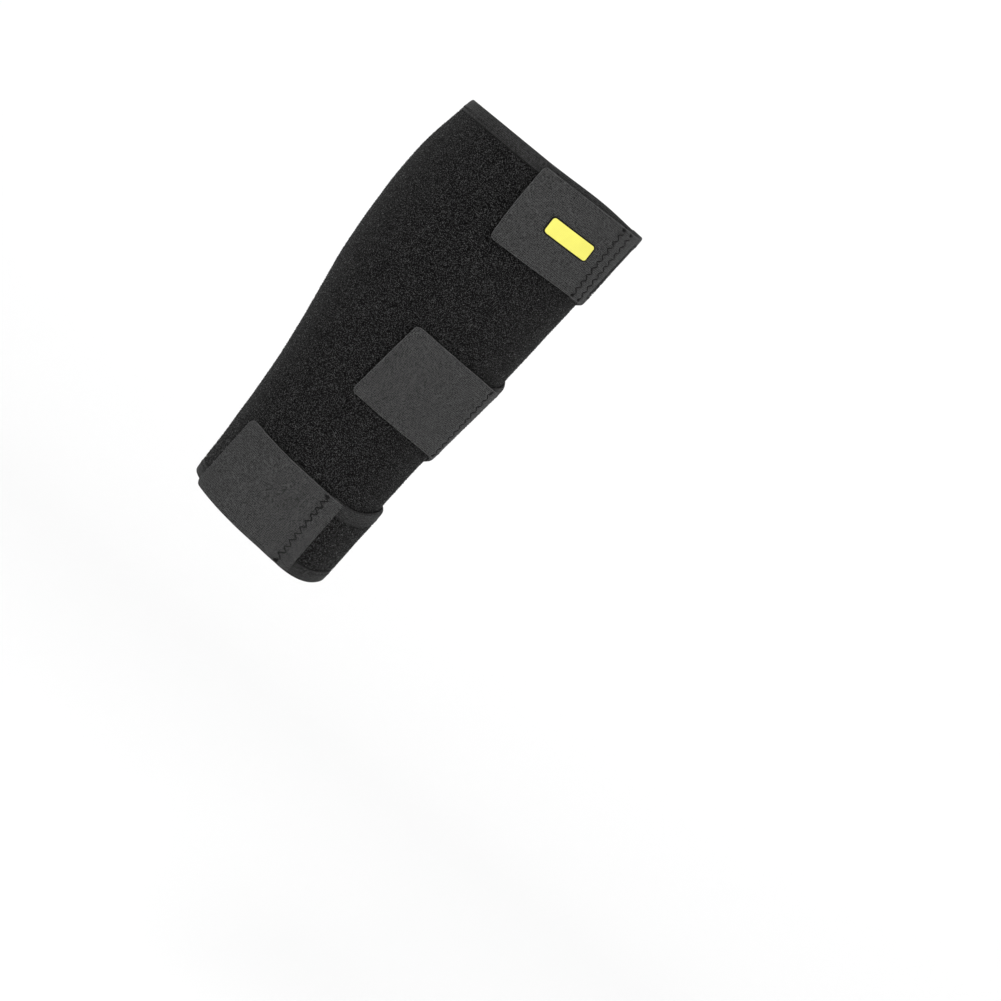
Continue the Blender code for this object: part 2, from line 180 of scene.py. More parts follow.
def section_value(height, column):
    share = height / WRAP_HEIGHT + 0.5
    at, value = SECTIONS[:, 0], SECTIONS[:, column]
    k = np.clip(np.searchsorted(at, share) - 1, 0, len(at) - 2)
    before, after = np.maximum(k - 1, 0), np.minimum(k + 2, len(at) - 1)
    span, chord = at[k + 1] - at[k], value[k + 1] - value[k]
    leave = (value[k + 1] - value[before]) / (at[k + 1] - at[before]) * span
    arrive = (value[after] - value[k]) / (at[after] - at[k]) * span
    t = (share - at[k]) / span
    curve = value[k] + t * (leave + t * (3 * chord - 2 * leave - arrive + t * (leave + arrive - 2 * chord)))
    return np.where(t < 0, value[k] + leave * t, np.where(t > 1, value[k + 1] + arrive * (t - 1), curve))


def hollow(turn, height):
    back = section_value(height, 1) * HOLLOW_DEPTH
    front = section_value(height, 2) * HOLLOW_DEPTH
    half_width = section_value(height, 3) * HOLLOW_WIDTH / 2
    x = (front - back) / 2 + (front + back) / 2 * np.cos(turn)
    y = -half_width * np.sin(turn) * (1.0 - BACK_FULLNESS * np.cos(turn))
    return np.stack([x, y, height + 0.0 * x], -1)


def outward(turn, height):
    small = 1e-4
    onwards = hollow(turn + small, height) - hollow(turn - small, height)
    upwards = hollow(turn, height + small) - hollow(turn, height - small)
    normal = np.cross(upwards, onwards)
    return normal / np.linalg.norm(normal, axis=-1, keepdims=True)


def on_wrap(turn, height, level):
    turn, height, level = np.broadcast_arrays(np.asarray(turn, float), height, level)
    return hollow(turn, height) + outward(turn, height) * level[..., None]


def metres_per_turn(turn, height):
    small = 1e-4
    turn, height = np.broadcast_arrays(np.asarray(turn, float), np.asarray(height, float))
    return np.linalg.norm(hollow(turn + small, height) - hollow(turn - small, height), axis=-1) / (2 * small)


def ease(t):
    t = np.clip(t, 0.0, 1.0)
    return t * t * (3.0 - 2.0 * t)


def past_front(degrees_past):
    return FULL_TURN + radians(degrees_past)


# Outlines


def on_wings(turn):
    return ease((turn - BAY_TURN) / (FULL_TURN - BAY_TURN))


def lower_rim(turn):
    drop = LOWER_RIM_TILT * np.cos(turn) + LOWER_RIM_DIP * np.sin(turn) ** 2
    front = np.maximum(np.cos(turn), 0.0)
    beside = 2.0 * front * np.maximum(np.sin(turn), 0.0)
    turned_up = LOWER_FRONT_RISE * front**12 - LOWER_FRONT_DIP * beside**4
    return -WRAP_HEIGHT / 2 + LOWER_WING_DROP / 3 - drop + turned_up - LOWER_WING_DROP * on_wings(turn)


def upper_swell(turn):
    return UPPER_RIM_SWELL * np.maximum(np.cos(turn - UPPER_SWELL_TURN), 0.0) ** 10


def upper_rim(turn):
    return WRAP_HEIGHT / 2 + UPPER_RIM_RISE + UPPER_WING_RISE * on_wings(turn) + upper_swell(turn)


def tab_edges(strap, turn):
    start, end = past_front(strap.wing_end), past_front(strap.tab_end)
    share = np.clip((turn - start) / (end - start), 0.0, 1.0)
    tall = STRAP_WIDTH * (strap.root_height + (strap.height - strap.root_height) * share)
    if strap is LOWER:
        low = lower_rim(turn) + LOWER_TAB_RAISE
        return low, low + tall
    if strap is UPPER:
        high = upper_rim(turn) - upper_swell(turn) - UPPER_TAB_DROP * (1.0 + share)
        return high - tall, high
    middle = MIDDLE_STRAP_HEIGHT + MIDDLE_STRAP_CLIMB * (turn - FULL_TURN)
    return middle - tall / 2, middle + tall / 2


def tab_middle(strap, turn):
    return sum(tab_edges(strap, turn)) / 2


def tab_scale(strap, turn):
    return float(metres_per_turn(turn, tab_middle(strap, turn)))


def wing_edges(strap, turn):
    """The heights of a wing's edges, inside its binding."""
    low, high = tab_edges(strap, turn)
    low = lower_rim(turn) if strap is LOWER else low - WING_MARGIN
    high = upper_rim(turn) if strap is UPPER else high + WING_MARGIN
    return low + TAPE_INSET, high - TAPE_INSET


def bay_size(below, above):
    low = wing_edges(below, BAY_TURN)[1]
    high = wing_edges(above, BAY_TURN)[0]
    return (low + high) / 2, (high - low) / 2


def spread_edges(strap, turn):
    """As wing_edges, with the flares where the wing leaves the body."""
    low, high = wing_edges(strap, turn)

    def spread(start, half):
        left = (past_front(start) - turn) / (past_front(start) - BAY_TURN)
        return half * (1.0 - np.sqrt(1.0 - np.clip(left, 0.0, 1.0) ** 2))

    k = STRAPS.index(strap)
    if k > 0:
        low = low - spread(strap.low_flare, bay_size(STRAPS[k - 1], strap)[1])
    if k < len(STRAPS) - 1:
        high = high + spread(strap.high_flare, bay_size(strap, STRAPS[k + 1])[1])
    return low, high


def body_end(height):
    """The turn where the body ends, along the bays between the wings."""
    end = np.full(np.shape(height), ROOT_TURN)
    for below, above in zip(STRAPS, STRAPS[1:]):
        middle, half = bay_size(below, above)
        off = np.clip(np.abs(height - middle) / half, 0.0, 1.0)
        start = np.where(height > middle, past_front(above.low_flare), past_front(below.high_flare))
        end = np.minimum(end, start - np.sqrt(1.0 - off**2) * (start - BAY_TURN))
    return end


def sheet_level(turn):
    full = START_TURN - TAPE_INSET / metres_per_turn(START_TURN, 0.0) + FULL_TURN - CLIMB_CLEARANCE
    return (PANEL_THICKNESS + LAYER_GAP) * ease((turn - full + CLIMB_TURN) / CLIMB_TURN)


def tab_level(strap, turn):
    on_wing = 2 * (PANEL_THICKNESS + LAYER_GAP)
    on_hook = PANEL_THICKNESS + LAYER_GAP + HOOK_THICKNESS + HOOK_GAP
    scale = metres_per_turn(turn, tab_middle(strap, turn))
    past = (turn - past_front(strap.wing_end)) * scale - HOOK_GAP
    return on_wing + (on_hook - on_wing) * ease(past / TAB_RAMP)


# Meshes


def make_piece(name, points, faces, looks, uv=None, face_looks=None):
    mesh = bpy.data.meshes.new(name)
    mesh.from_pydata(np.asarray(points).tolist(), [], faces)
    mesh.validate()
    mesh.shade_smooth()
    for look in looks:
        mesh.materials.append(look)
    if face_looks is not None:
        mesh.polygons.foreach_set("material_index", np.asarray(face_looks, dtype=np.int32))
    if uv is not None:
        layer = mesh.uv_layers.new(name="cloth")
        corners = np.empty(len(mesh.loops), dtype=np.int32)
        mesh.loops.foreach_get("vertex_index", corners)
        layer.data.foreach_set("uv", np.asarray(uv, dtype=np.float32)[corners].ravel())
    piece = bpy.data.objects.new(name, mesh)
    bpy.context.scene.collection.objects.link(piece)
    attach(piece, "root")
    return piece


def grid_faces(rows, columns, first=0, close_rows=False, close_columns=False):
    """Quads of a grid of corners stored row by row."""
    faces = []
    for j in range(rows if close_rows else rows - 1):
        for i in range(columns if close_columns else columns - 1):
            a, b = j * columns + i, j * columns + (i + 1) % columns
            c, d = ((j + 1) % rows) * columns + (i + 1) % columns, ((j + 1) % rows) * columns + i
            faces.append((first + a, first + b, first + c, first + d))
    return faces


def ways_out(loop):
    """For each point of a closed loop of (turn, height) rows: the scale to metres, the ways out of the two
    sides that meet there, the mitred way between them, and whether it is a sharp outer corner."""
    before, after = np.roll(loop, 1, axis=0), np.roll(loop, -1, axis=0)
    scale = np.stack([metres_per_turn(loop[:, 0], loop[:, 1]), np.ones(len(loop))], -1)
    arrive, leave = (loop - before) * scale, (after - loop) * scale
    arrive /= np.linalg.norm(arrive, axis=1, keepdims=True)
    leave /= np.linalg.norm(leave, axis=1, keepdims=True)
    out_a = np.stack([arrive[:, 1], -arrive[:, 0]], -1)
    out_b = np.stack([leave[:, 1], -leave[:, 0]], -1)
    mitre = (out_a + out_b) / (1.0 + np.sum(out_a * out_b, axis=1, keepdims=True))
    sharp = arrive[:, 0] * leave[:, 1] - arrive[:, 1] * leave[:, 0] > SHARP_CORNER
    return scale, out_a, out_b, mitre, sharp


def moved_out(loop, distance):
    """A closed loop moved outwards."""
    scale, _, _, mitre, _ = ways_out(loop)
    return loop + mitre * distance / scale


def moved_out_round(loop, distance):
    """A closed loop moved outwards, with points beside each sharp outer corner."""
    scale, out_a, out_b, mitre, sharp = ways_out(loop)
    moved = []
    for k in range(len(loop)):
        if sharp[k]:
            turned = out_a[k] + out_b[k]
            ways = (out_a[k], turned / np.linalg.norm(turned) * CORNER_BULGE, out_b[k])
        else:
            ways = (mitre[k],)
        moved += [loop[k] + way * distance / scale[k] for way in ways]
    return np.array(moved)


def sheet_grid():
    """Turns and heights of the sheet up to its binding, as a grid with unused places, and its cells."""
    roots = np.array([edge for strap in STRAPS for edge in spread_edges(strap, ROOT_TURN)])
    counts = np.round(np.diff(roots) / ROW_STEP).astype(int)
    first_rows = np.concatenate([[0], np.cumsum(counts)])
    rows = first_rows[-1] + 1
    columns = round((ROOT_TURN - START_TURN) / COLUMN_TURN)
    shared = round((BAY_TURN - START_TURN) / COLUMN_TURN) - EASED_COLUMNS

    turns = START_TURN + np.arange(columns + 1) * COLUMN_TURN
    stops = np.repeat(roots[:, None], columns + 1, axis=1)
    stops[0], stops[-1] = lower_rim(turns) + TAPE_INSET, upper_rim(turns) - TAPE_INSET
    height = np.empty((rows, columns + 1))
    for k, count in enumerate(counts):
        share = (np.arange(count + 1) / count)[:, None]
        height[first_rows[k] : first_rows[k + 1] + 1] = stops[k] + (stops[k + 1] - stops[k]) * share
    turn = np.repeat(turns[None], rows, axis=0)
    share = np.clip((np.arange(columns + 1) - shared) / (columns - shared), 0.0, 1.0)
    turn = np.where(share > 0, turns[shared] + (body_end(height) - turns[shared]) * share, turn)

    ends = []
    for strap in STRAPS:
        end = past_front(strap.wing_end)
        ends.append(end - TAPE_INSET / metres_per_turn(end, sum(wing_edges(strap, end)) / 2))
    wing_columns = [round((end - ROOT_TURN) / COLUMN_TURN) for end in ends]
    total = columns + 1 + max(wing_columns)
    place = np.full((rows, total, 2), np.nan)
    place[:, : columns + 1, 0], place[:, : columns + 1, 1] = turn, height
    used = np.zeros((rows - 1, total - 1), dtype=bool)
    used[:, :columns] = True
    for k, strap in enumerate(STRAPS):
        first, last = first_rows[2 * k], first_rows[2 * k + 1]
        turns = ROOT_TURN + (ends[k] - ROOT_TURN) * np.arange(1, wing_columns[k] + 1) / wing_columns[k]
        low, high = spread_edges(strap, turns)
        share = (np.arange(last - first + 1) / (last - first))[:, None]
        there = slice(columns + 1, columns + 1 + wing_columns[k])
        place[first : last + 1, there, 0] = turns
        place[first : last + 1, there, 1] = low + (high - low) * share
        used[first:last, columns : columns + wing_columns[k]] = True
    return place, used


def outline_of(used):
    """Grid corners round the used cells, in order, with the cells on the left."""
    sides = set()
    for j, i in zip(*np.nonzero(used)):
        ring = ((i, j), (i + 1, j), (i + 1, j + 1), (i, j + 1))
        sides.update(zip(ring, ring[1:] + ring[:1]))
    follows = {a: b for a, b in sides if (b, a) not in sides}
    loop = [min(follows)]
    while follows[loop[-1]] != loop[0]:
        loop.append(follows[loop[-1]])
    return loop


def run_along(points):
    """How far along a path each of its points lies."""
    return np.concatenate([[0.0], np.cumsum(np.linalg.norm(np.diff(points, axis=0), axis=1))])


def cloth_uv(turn, height):
    return np.stack([turn * TURN_RADIUS, height + 0.0 * turn], -1)


def relief(turn, height):
    """Soft unevenness of the stretched sheet, and the ridge near its front."""
    slow = np.sin(5 * turn + 31 * height) * np.sin(3 * turn - 47 * height + 1.0)
    quick = np.sin(17 * turn + 90 * height + 2.0) * np.sin(13 * turn - 140 * height)
    ridge = np.exp(-(((turn - RIDGE_TURN) / RIDGE_WIDTH) ** 2))
    return SLOW_RELIEF * slow + QUICK_RELIEF * quick + RIDGE_HEIGHT * ridge


def build_sheet(pile, lining):
    """The sheet, whose outline inside the binding is returned too."""
    place, used = sheet_grid()
    rows, columns = place.shape[:2]
    loop = outline_of(used)
    outline = np.array([place[j, i] for i, j in loop])

    # corners of the used cells, on both faces
    index = -np.ones((rows, columns), dtype=int)
    flags = np.zeros((rows, columns), dtype=bool)
    for dj in (0, 1):
        for di in (0, 1):
            flags[dj : rows - 1 + dj, di : columns - 1 + di] |= used
    index[flags] = np.arange(flags.sum())
    turn, height = place[flags, 0], place[flags, 1]
    base = sheet_level(turn)
    on_edge = np.zeros((rows, columns))
    for i, j in loop:
        on_edge[j, i] = 1.0
    lift = np.where(on_edge[flags] > 0, -EDGE_SINK, relief(turn, height))
    points = [on_wrap(turn, height, base + PANEL_THICKNESS + lift), on_wrap(turn, height, base)]
    uv = [cloth_uv(turn, height)] * 2
    count = len(turn)
    faces, looks = [], []
    for j, i in zip(*np.nonzero(used)):
        a, b, c, d = index[j, i], index[j, i + 1], index[j + 1, i + 1], index[j + 1, i]
        faces += [(a, b, c, d), (d + count, c + count, b + count, a + count)]
        looks += [0, 1]
    # the thinned border
    edge = [index[j, i] for i, j in loop]
    first, n = 2 * count, len(edge)
    for distance, level in BORDER_SECTION:
        ring = moved_out(outline, distance)
        points.append(on_wrap(ring[:, 0], ring[:, 1], sheet_level(ring[:, 0]) + level))
        uv.append(cloth_uv(ring[:, 0], ring[:, 1]))
    border = [[first + k * n + m for m in range(n)] for k in range(len(BORDER_SECTION))]
    rings = [edge] + border + [[corner + count for corner in edge]]
    for near, far in zip(rings, rings[1:]):
        for m in range(n):
            after = (m + 1) % n
            faces.append((near[m], far[m], far[after], near[after]))
            looks.append(0)
    points, uv = np.concatenate(points), np.concatenate(uv)
    sheet = make_piece("calf_sheet", points, faces, [pile, lining], uv, looks)
    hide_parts("calf_panel")
    return sheet, outline


def build_binding(outline, look):
    """One closed tape section swept round the sheet's edge."""
    t, w = PANEL_THICKNESS, TAPE_INSET
    # distance out from the outline, and level over the sheet's inner face
    section = (
        (-0.00010, t - 0.00030), (-0.00008, t + 0.00008), (0.00015, t + 0.00020),
        (0.00070, t + 0.00020), (0.00120, t + 0.00006), (0.00170, t + 0.00018),
        (0.00300, t + 0.00020), (0.00450, t + 0.00017), (0.00620, t + 0.00012),
        (w - 0.00130, t - 0.00002), (w - 0.00060, t - 0.00030), (w - 0.00015, t - 0.00070),
        (w, t / 2),
        (w - 0.00015, 0.00070), (w - 0.00060, 0.00030), (w - 0.00130, 0.00002),
        (0.00620, -0.00008), (0.00300, -0.00010), (0.00120, -0.00004),
        (0.00015, -0.00008), (-0.00008, 0.00000), (-0.00010, 0.00030),
        (0.00600, 0.00050), (w - 0.00120, 0.00090), (w - 0.00120, t - 0.00090), (0.00600, t - 0.00050),
    )
    points, uv = [], []
    for distance, level in section:
        ring = moved_out_round(outline, distance)
        points.append(on_wrap(ring[:, 0], ring[:, 1], sheet_level(ring[:, 0]) + level))
        if not uv:
            run = run_along(on_wrap(ring[:, 0], ring[:, 1], 0.0))
        # The across map also places the painted shade along the tape's inner edge; the inner face is set far
        # off so it gets none.
        across = distance + (0.0 if level > t / 2 else 0.02)
        uv.append(np.stack([run, np.full(len(run), across)], -1))
    n = len(points[0])
    faces = grid_faces(len(section), n, close_rows=True, close_columns=True)
    tape = make_piece("binding_tape", np.concatenate(points), faces, [look], np.concatenate(uv))
    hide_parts("edge_tape")
    return tape


def tab_start(strap):
    """The turn where a tab starts on its wing."""
    end = past_front(strap.wing_end)
    return end - STRAP_WIDTH * strap.overlap / tab_scale(strap, end)


def covered(turn, height):
    """Whether a wing, a tab or the body lies over a place on the sheet."""
    hidden = np.zeros(np.shape(turn), dtype=bool)
    rim, radius, tab_margins = TAPE_INSET + LAYER_GAP, 0.05, (0.01, 0.05)
    over = turn + np.where(turn < ROOT_TURN - FULL_TURN / 2, FULL_TURN, 0.0)
    for strap in STRAPS:
        low, high = wing_edges(strap, over)
        under_wing = (over > turn) & (over < past_front(strap.wing_end) + LAYER_GAP / radius)
        hidden |= under_wing & (height > low - rim) & (height < high + rim)
        low, high = tab_edges(strap, over)
        under_tab = over > tab_start(strap) - tab_margins[0]
        under_tab &= over < past_front(strap.tab_end) + tab_margins[1]
        hidden |= under_tab & (height > low - LAYER_GAP) & (height < high + LAYER_GAP)
    under_body = (turn < 0.0) & (turn + FULL_TURN < body_end(height) + rim / radius)
    return hidden | under_body


def build_loops(look):
    """Small closed loops of the pile, lying every way, that stand out of the sheet's outer face."""
    draw = np.random.default_rng(7)
    place, used = sheet_grid()
    rows, columns = np.nonzero(used)
    cells = draw.integers(0, len(rows), LOOPS)
    j, i = rows[cells], columns[cells]
    u, v = draw.random((2, LOOPS, 1))
    low = place[j, i] * (1 - u) + place[j, i + 1] * u
    high = place[j + 1, i] * (1 - u) + place[j + 1, i + 1] * u
    turn, height = (low * (1 - v) + high * v).T
    open_places = ~covered(turn, height)
    turn, height = turn[open_places], height[open_places]
    count = len(turn)
    level = sheet_level(turn) + PANEL_THICKNESS + relief(turn, height)
    foot = on_wrap(turn, height, level - LOOP_SINK)
    normal = outward(turn, height)
    level_way = np.cross(normal, np.array([0.0, 0.0, 1.0]))
    level_way /= np.linalg.norm(level_way, axis=1, keepdims=True)
    up_way = np.cross(level_way, normal)
    angle = draw.uniform(0.0, FULL_TURN, (count, 1))
    along = np.cos(angle) * level_way + np.sin(angle) * up_way
    aside = np.cross(normal, along)
    half = draw.uniform(*LOOP_LENGTHS, (count, 1)) / 2
    top = draw.uniform(*LOOP_HEIGHTS, (count, 1)) + LOOP_SINK
    lean = draw.uniform(-0.5, 0.5, (count, 1))
    corners = (
        foot - along * half - aside * LOOP_WIDTH / 3,
        foot + along * half - aside * LOOP_WIDTH / 3,
        foot + aside * LOOP_WIDTH * 2 / 3,
        foot + along * half * lean + normal * top,
    )
    points = np.stack(corners, 1).reshape(-1, 3)
    sides = np.array(((0, 2, 1), (0, 1, 3), (1, 2, 3), (2, 0, 3)))
    faces = (4 * np.arange(count)[:, None, None] + sides).reshape(-1, 3)
    loops = make_piece("pile_loops", points, faces.tolist(), [look])
    return loops


def length_of(turns, height, level):
    """The length of a run round the wrap."""
    points = on_wrap(turns, height, level)
    return float(np.sum(np.linalg.norm(np.diff(points, axis=0), axis=1)))


def quads_area(a, b, c, d):
    return float(np.sum(np.linalg.norm(np.cross(c - a, d - b), axis=-1)) / 2)


def flat_size(outline):
    """The stretched sheet's height and length, to the edge of its binding, and its area."""

    def laid(turn, height):
        return on_wrap(turn, height, sheet_level(turn) + PANEL_THICKNESS / 2)

    place, used = sheet_grid()
    spots = laid(place[..., 0], place[..., 1])
    corners = (spots[:-1, :-1], spots[:-1, 1:], spots[1:, 1:], spots[1:, :-1])
    area = quads_area(*[corner[used] for corner in corners])
    edge = moved_out(outline, TAPE_INSET)
    near, far = laid(outline[:, 0], outline[:, 1]), laid(edge[:, 0], edge[:, 1])
    area += quads_area(near, far, np.roll(far, -1, axis=0), np.roll(near, -1, axis=0))
    width = float(edge[:, 1].max() - edge[:, 1].min())
    turns = np.arange(edge[:, 0].min(), edge[:, 0].max(), COLUMN_TURN)
    level = sheet_level(turns) + PANEL_THICKNESS / 2
    lengths = [length_of(turns, height, level) for height in edge[::40, 1]]
    return (width, max(lengths)), area


def corner_inset(distance, radius):
    """How far a round corner draws an edge in, at a distance from the cloth's end."""
    if radius <= 0:
        return np.zeros_like(distance)
    reach = np.sqrt(np.maximum(radius**2 - (radius - distance) ** 2, 0))
    return np.where(distance < radius, radius - reach, 0.0)


def edge_spaced(length, step):
    """Distances from 0 to length, close together near both ends."""
    inner = length - 2 * EDGE_STEPS[-1]
    count = max(round(inner / step), 1)
    middle = EDGE_STEPS[-1] + inner * np.arange(1, count) / count
    return np.concatenate([EDGE_STEPS, middle, length - np.array(EDGE_STEPS)[::-1]])


def build_patch(
    name, turns, edges, level, thickness, lean, corners, look,
    edge_round=0.0004, lift=None, step=CLOTH_STEP, leans=False,
):
    """A thin closed cloth with rounded edges. It leans at its far end, or where leans is set all along."""
    start, end = turns
    scale = float(metres_per_turn((start + end) / 2, sum(edges((start + end) / 2)) / 2))
    length = (end - start) * scale
    along = edge_spaced(length, step)
    turn = start + along / scale
    low, high = edges(turn)
    inset = corner_inset(along, corners[0]) + corner_inset(length - along, corners[1])
    low, high = low + inset, high - inset
    tall = float(np.mean(high - low))
    share = edge_spaced(tall, step)[:, None] / tall
    height = low + (high - low) * share
    leant = lean * (1.0 if leans else ease(along / length)) * (height - (low + high) / 2)
    turn = turn + leant / scale
    from_edge = np.minimum(share, 1 - share) * tall + 0.0 * height
    from_edge = np.minimum(from_edge, np.minimum(along, length - along)[None])
    short = np.clip(edge_round - from_edge, 0.0, edge_round)
    drop = edge_round - np.sqrt(np.maximum(edge_round**2 - short**2, 0.0))
    base = level(turn)
    extra = 0.0 if lift is None else lift(turn, height)
    rows, columns = turn.shape
    top = on_wrap(turn, height, base + thickness - drop + extra)
    foot = on_wrap(turn, height, base + 0.6 * drop)
    points = np.concatenate([top.reshape(-1, 3), foot.reshape(-1, 3)])
    flat = np.stack([turn * scale, height], -1).reshape(-1, 2)
    faces = grid_faces(rows, columns)
    under = [tuple(reversed([k + rows * columns for k in face])) for face in faces]
    rim = [(0, i) for i in range(columns - 1)] + [(j, columns - 1) for j in range(rows - 1)]
    rim += [(rows - 1, i) for i in range(columns - 1, 0, -1)] + [(j, 0) for j in range(rows - 1, 0, -1)]
    ring = [j * columns + i for j, i in rim]
    sides = []
    for k, here in enumerate(ring):
        after = ring[(k + 1) % len(ring)]
        sides.append((here, here + rows * columns, after + rows * columns, after))
    piece = make_piece(name, points, faces + under + sides, [look], np.concatenate([flat, flat]))
    # Painted highlight along the cloth's edges, where they catch the light; it fades in from the start edge.
    past_start = np.minimum(along / HIGHLIGHT_START, 1.0)
    painted_highlight = (np.exp(-((from_edge / HIGHLIGHT_WIDTH) ** 2)) * past_start).ravel()
    piece.data.attributes.new("edge_highlight", "FLOAT", "POINT").data.foreach_set(
        "value", np.concatenate([painted_highlight, painted_highlight]).astype(np.float32)
    )
    return piece


def seam_turns(strap):
    """The turns of a tab's zigzag rows."""
    end = past_front(strap.wing_end)
    return [end - offset / tab_scale(strap, end) for offset in SEAMS[strap.name]]


def zigzag(along):
    """How far a zigzag row's thread lies from the row's middle."""
    share = along / STITCH_PITCH
    return STITCH_WIDTH * (np.abs(share - np.floor(share) - 0.5) * 2.0 - 0.5)


def tab_lift(strap):
    """The tab's soft unevenness, drawn down under the threads and puffed beside them."""
    seams, seam_lean = seam_turns(strap), SEAM_LEAN[strap.name]

    def lift(turn, height):
        scale = metres_per_turn(turn, tab_middle(strap, turn))
        wave = TAB_WAVE * np.sin(9.0 * turn + 60 * height) * np.sin(70 * height - 9 * turn)
        for seam in seams:
            row_low, row_high = tab_edges(strap, seam)
            off = (turn - seam) * scale - seam_lean * (height - (row_low + row_high) / 2)
            row_low = row_low + STITCH_MARGIN
            from_thread = (off - zigzag(height - row_low)) * GROOVE_SLANT
            near = np.exp(-((off / PUFF_WIDTH) ** 2))
            groove = np.exp(-((from_thread / GROOVE_WIDTH) ** 2))
            wave = wave + PUFF_HEIGHT * near - GROOVE_DEPTH * groove
        return wave

    return lift


def threads(name, ways, look, radius=THREAD_RADIUS, sides=6):
    """Stitches: ways holds, for each, the turn, height and level of its points."""
    points, faces = [], []
    for turn, height, level in ways:
        centre = on_wrap(turn, height, level)
        normal = outward(np.asarray(turn, float), np.asarray(height, float))
        run = np.gradient(centre, axis=0)
        run /= np.linalg.norm(run, axis=1, keepdims=True)
        side = np.cross(normal, run)
        side /= np.linalg.norm(side, axis=1, keepdims=True)
        up = np.cross(run, side)
        first = sum(len(p) for p in points)
        angle = 2 * pi * np.arange(sides) / sides
        ring = centre[:, None] + radius * (
            np.cos(angle)[None, :, None] * side[:, None] + np.sin(angle)[None, :, None] * up[:, None]
        )
        points.append(ring.reshape(-1, 3))
        faces += grid_faces(len(centre), sides, first, close_columns=True)
        faces.append(tuple(first + k for k in reversed(range(sides))))
        faces.append(tuple(first + (len(centre) - 1) * sides + k for k in range(sides)))
    piece = make_piece(name, np.concatenate(points), faces, [look])
    return piece


def stitch(a, b, level, bulge=THREAD_RADIUS):
    """One stitch between two (turn, height) places, rising out of the cloth and back into it."""
    share = np.linspace(0.0, 1.0, STITCH_POINTS)
    turn, height = a[0] + (b[0] - a[0]) * share, a[1] + (b[1] - a[1]) * share
    return turn, height, level(turn) - STITCH_SINK + (STITCH_SINK + bulge) * np.sin(pi * share) ** 0.6


def zigzag_rows(strap):
    """The zigzag stitches over a tab's end, with a bar tack at either end of each row."""
    ways = []

    def level(turn):
        return tab_level(strap, turn) + TAB_THICKNESS - THREAD_BED

    for seam in seam_turns(strap):
        low, high = tab_edges(strap, seam)
        middle, scale = (low + high) / 2, tab_scale(strap, seam)
        along = np.arange(int((high - low - 2 * STITCH_MARGIN) / STITCH_PITCH * 2) + 1) * STITCH_PITCH / 2
        lean = SEAM_LEAN[strap.name] / scale
        heights = low + STITCH_MARGIN + along
        spots = list(zip(seam + zigzag(along) / scale + lean * (heights - middle), heights))
        ways += [stitch(a, b, level) for a, b in zip(spots, spots[1:])]
        side = 0.5 * STITCH_WIDTH / scale
        for end, way in ((low + TACK_MARGIN, 1), (high - TACK_MARGIN, -1)):
            for k in range(3):
                at = end + way * TACK_STEP * k
                there = seam + lean * (at - middle)
                ways.append(stitch((there - side, at), (there + side, at + way * TACK_STEP / 2), level))
    return ways


def tape_stitches(outline):
    """A zigzag row along the binding, near its inner edge."""
    inner, outer = [moved_out(outline, distance) for distance in TAPE_STITCH_ROWS]
    path = on_wrap(outline[:, 0], outline[:, 1], PANEL_THICKNESS)
    run = run_along(np.concatenate([path, path[:1]]))
    count = int(run[-1] / TAPE_STITCH) // 2 * 2
    at = run[-1] * np.arange(count) / count

    def along(loop):
        ring = np.concatenate([loop, loop[:1]])
        return np.stack([np.interp(at, run, ring[:, k]) for k in (0, 1)], -1)

    def level(turn):
        return sheet_level(turn) + PANEL_THICKNESS + TAPE_STITCH_RISE

    spots = np.where((np.arange(count) % 2 == 0)[:, None], along(inner), along(outer))
    return [stitch(spots[k], spots[(k + 1) % count], level, TAPE_STITCH_RISE) for k in range(count)]


# Materials


def nodes_of(name, roughness, sheen=0.0, sheen_roughness=0.5, specular=0.5):
    made = bpy.data.materials.new(name)
    made.use_nodes = True
    tree = made.node_tree
    shader = tree.nodes["Principled BSDF"]
    shader.inputs["Roughness"].default_value = roughness
    shader.inputs["Metallic"].default_value = 0.0
    shader.inputs["Sheen Weight"].default_value = sheen
    shader.inputs["Sheen Roughness"].default_value = sheen_roughness
    shader.inputs["Sheen Tint"].default_value = (1.0, 1.0, 1.0, 1.0)
    shader.inputs["Specular IOR Level"].default_value = specular
    return made, tree, shader


def add(tree, kind, **values):
    node = tree.nodes.new(kind)
    for key, value in values.items():
        if hasattr(node, key):
            setattr(node, key, value)
        else:
            node.inputs[key.replace("_", " ")].default_value = value
    return node


def noise(tree, vector, scale, detail=2.0, roughness=0.5):
    node = add(tree, "ShaderNodeTexNoise", Scale=scale, Detail=detail, Roughness=roughness)
    tree.links.new(vector, node.inputs["Vector"])
    return node.outputs["Fac"]


def ramp(tree, value, stops):
    node = tree.nodes.new("ShaderNodeValToRGB")
    while len(node.color_ramp.elements) < len(stops):
        node.color_ramp.elements.new(0.5)
    for element, (at, colour) in zip(node.color_ramp.elements, stops):
        element.position = at
        element.color = (*colour, 1.0)
    tree.links.new(value, node.inputs["Fac"])
    return node.outputs["Color"]


def blend(tree, kind, a, b):
    node = add(tree, "ShaderNodeMix", data_type="RGBA", blend_type=kind)
    node.inputs["Factor"].default_value = 1.0
    tree.links.new(a, node.inputs["A"])
    tree.links.new(b, node.inputs["B"])
    return node.outputs["Result"]


def maths(tree, kind, a, b):
    node = add(tree, "ShaderNodeMath", operation=kind)
    for k, value in enumerate((a, b)):
        if isinstance(value, (int, float)):
            node.inputs[k].default_value = value
        else:
            tree.links.new(value, node.inputs[k])
    return node.outputs["Value"]


def bump(tree, shader, height, distance, strength):
    node = add(tree, "ShaderNodeBump", Strength=strength, Distance=distance)
    tree.links.new(height, node.inputs["Height"])
    tree.links.new(node.outputs["Normal"], shader.inputs["Normal"])


def grey(value):
    return (value, value, value)


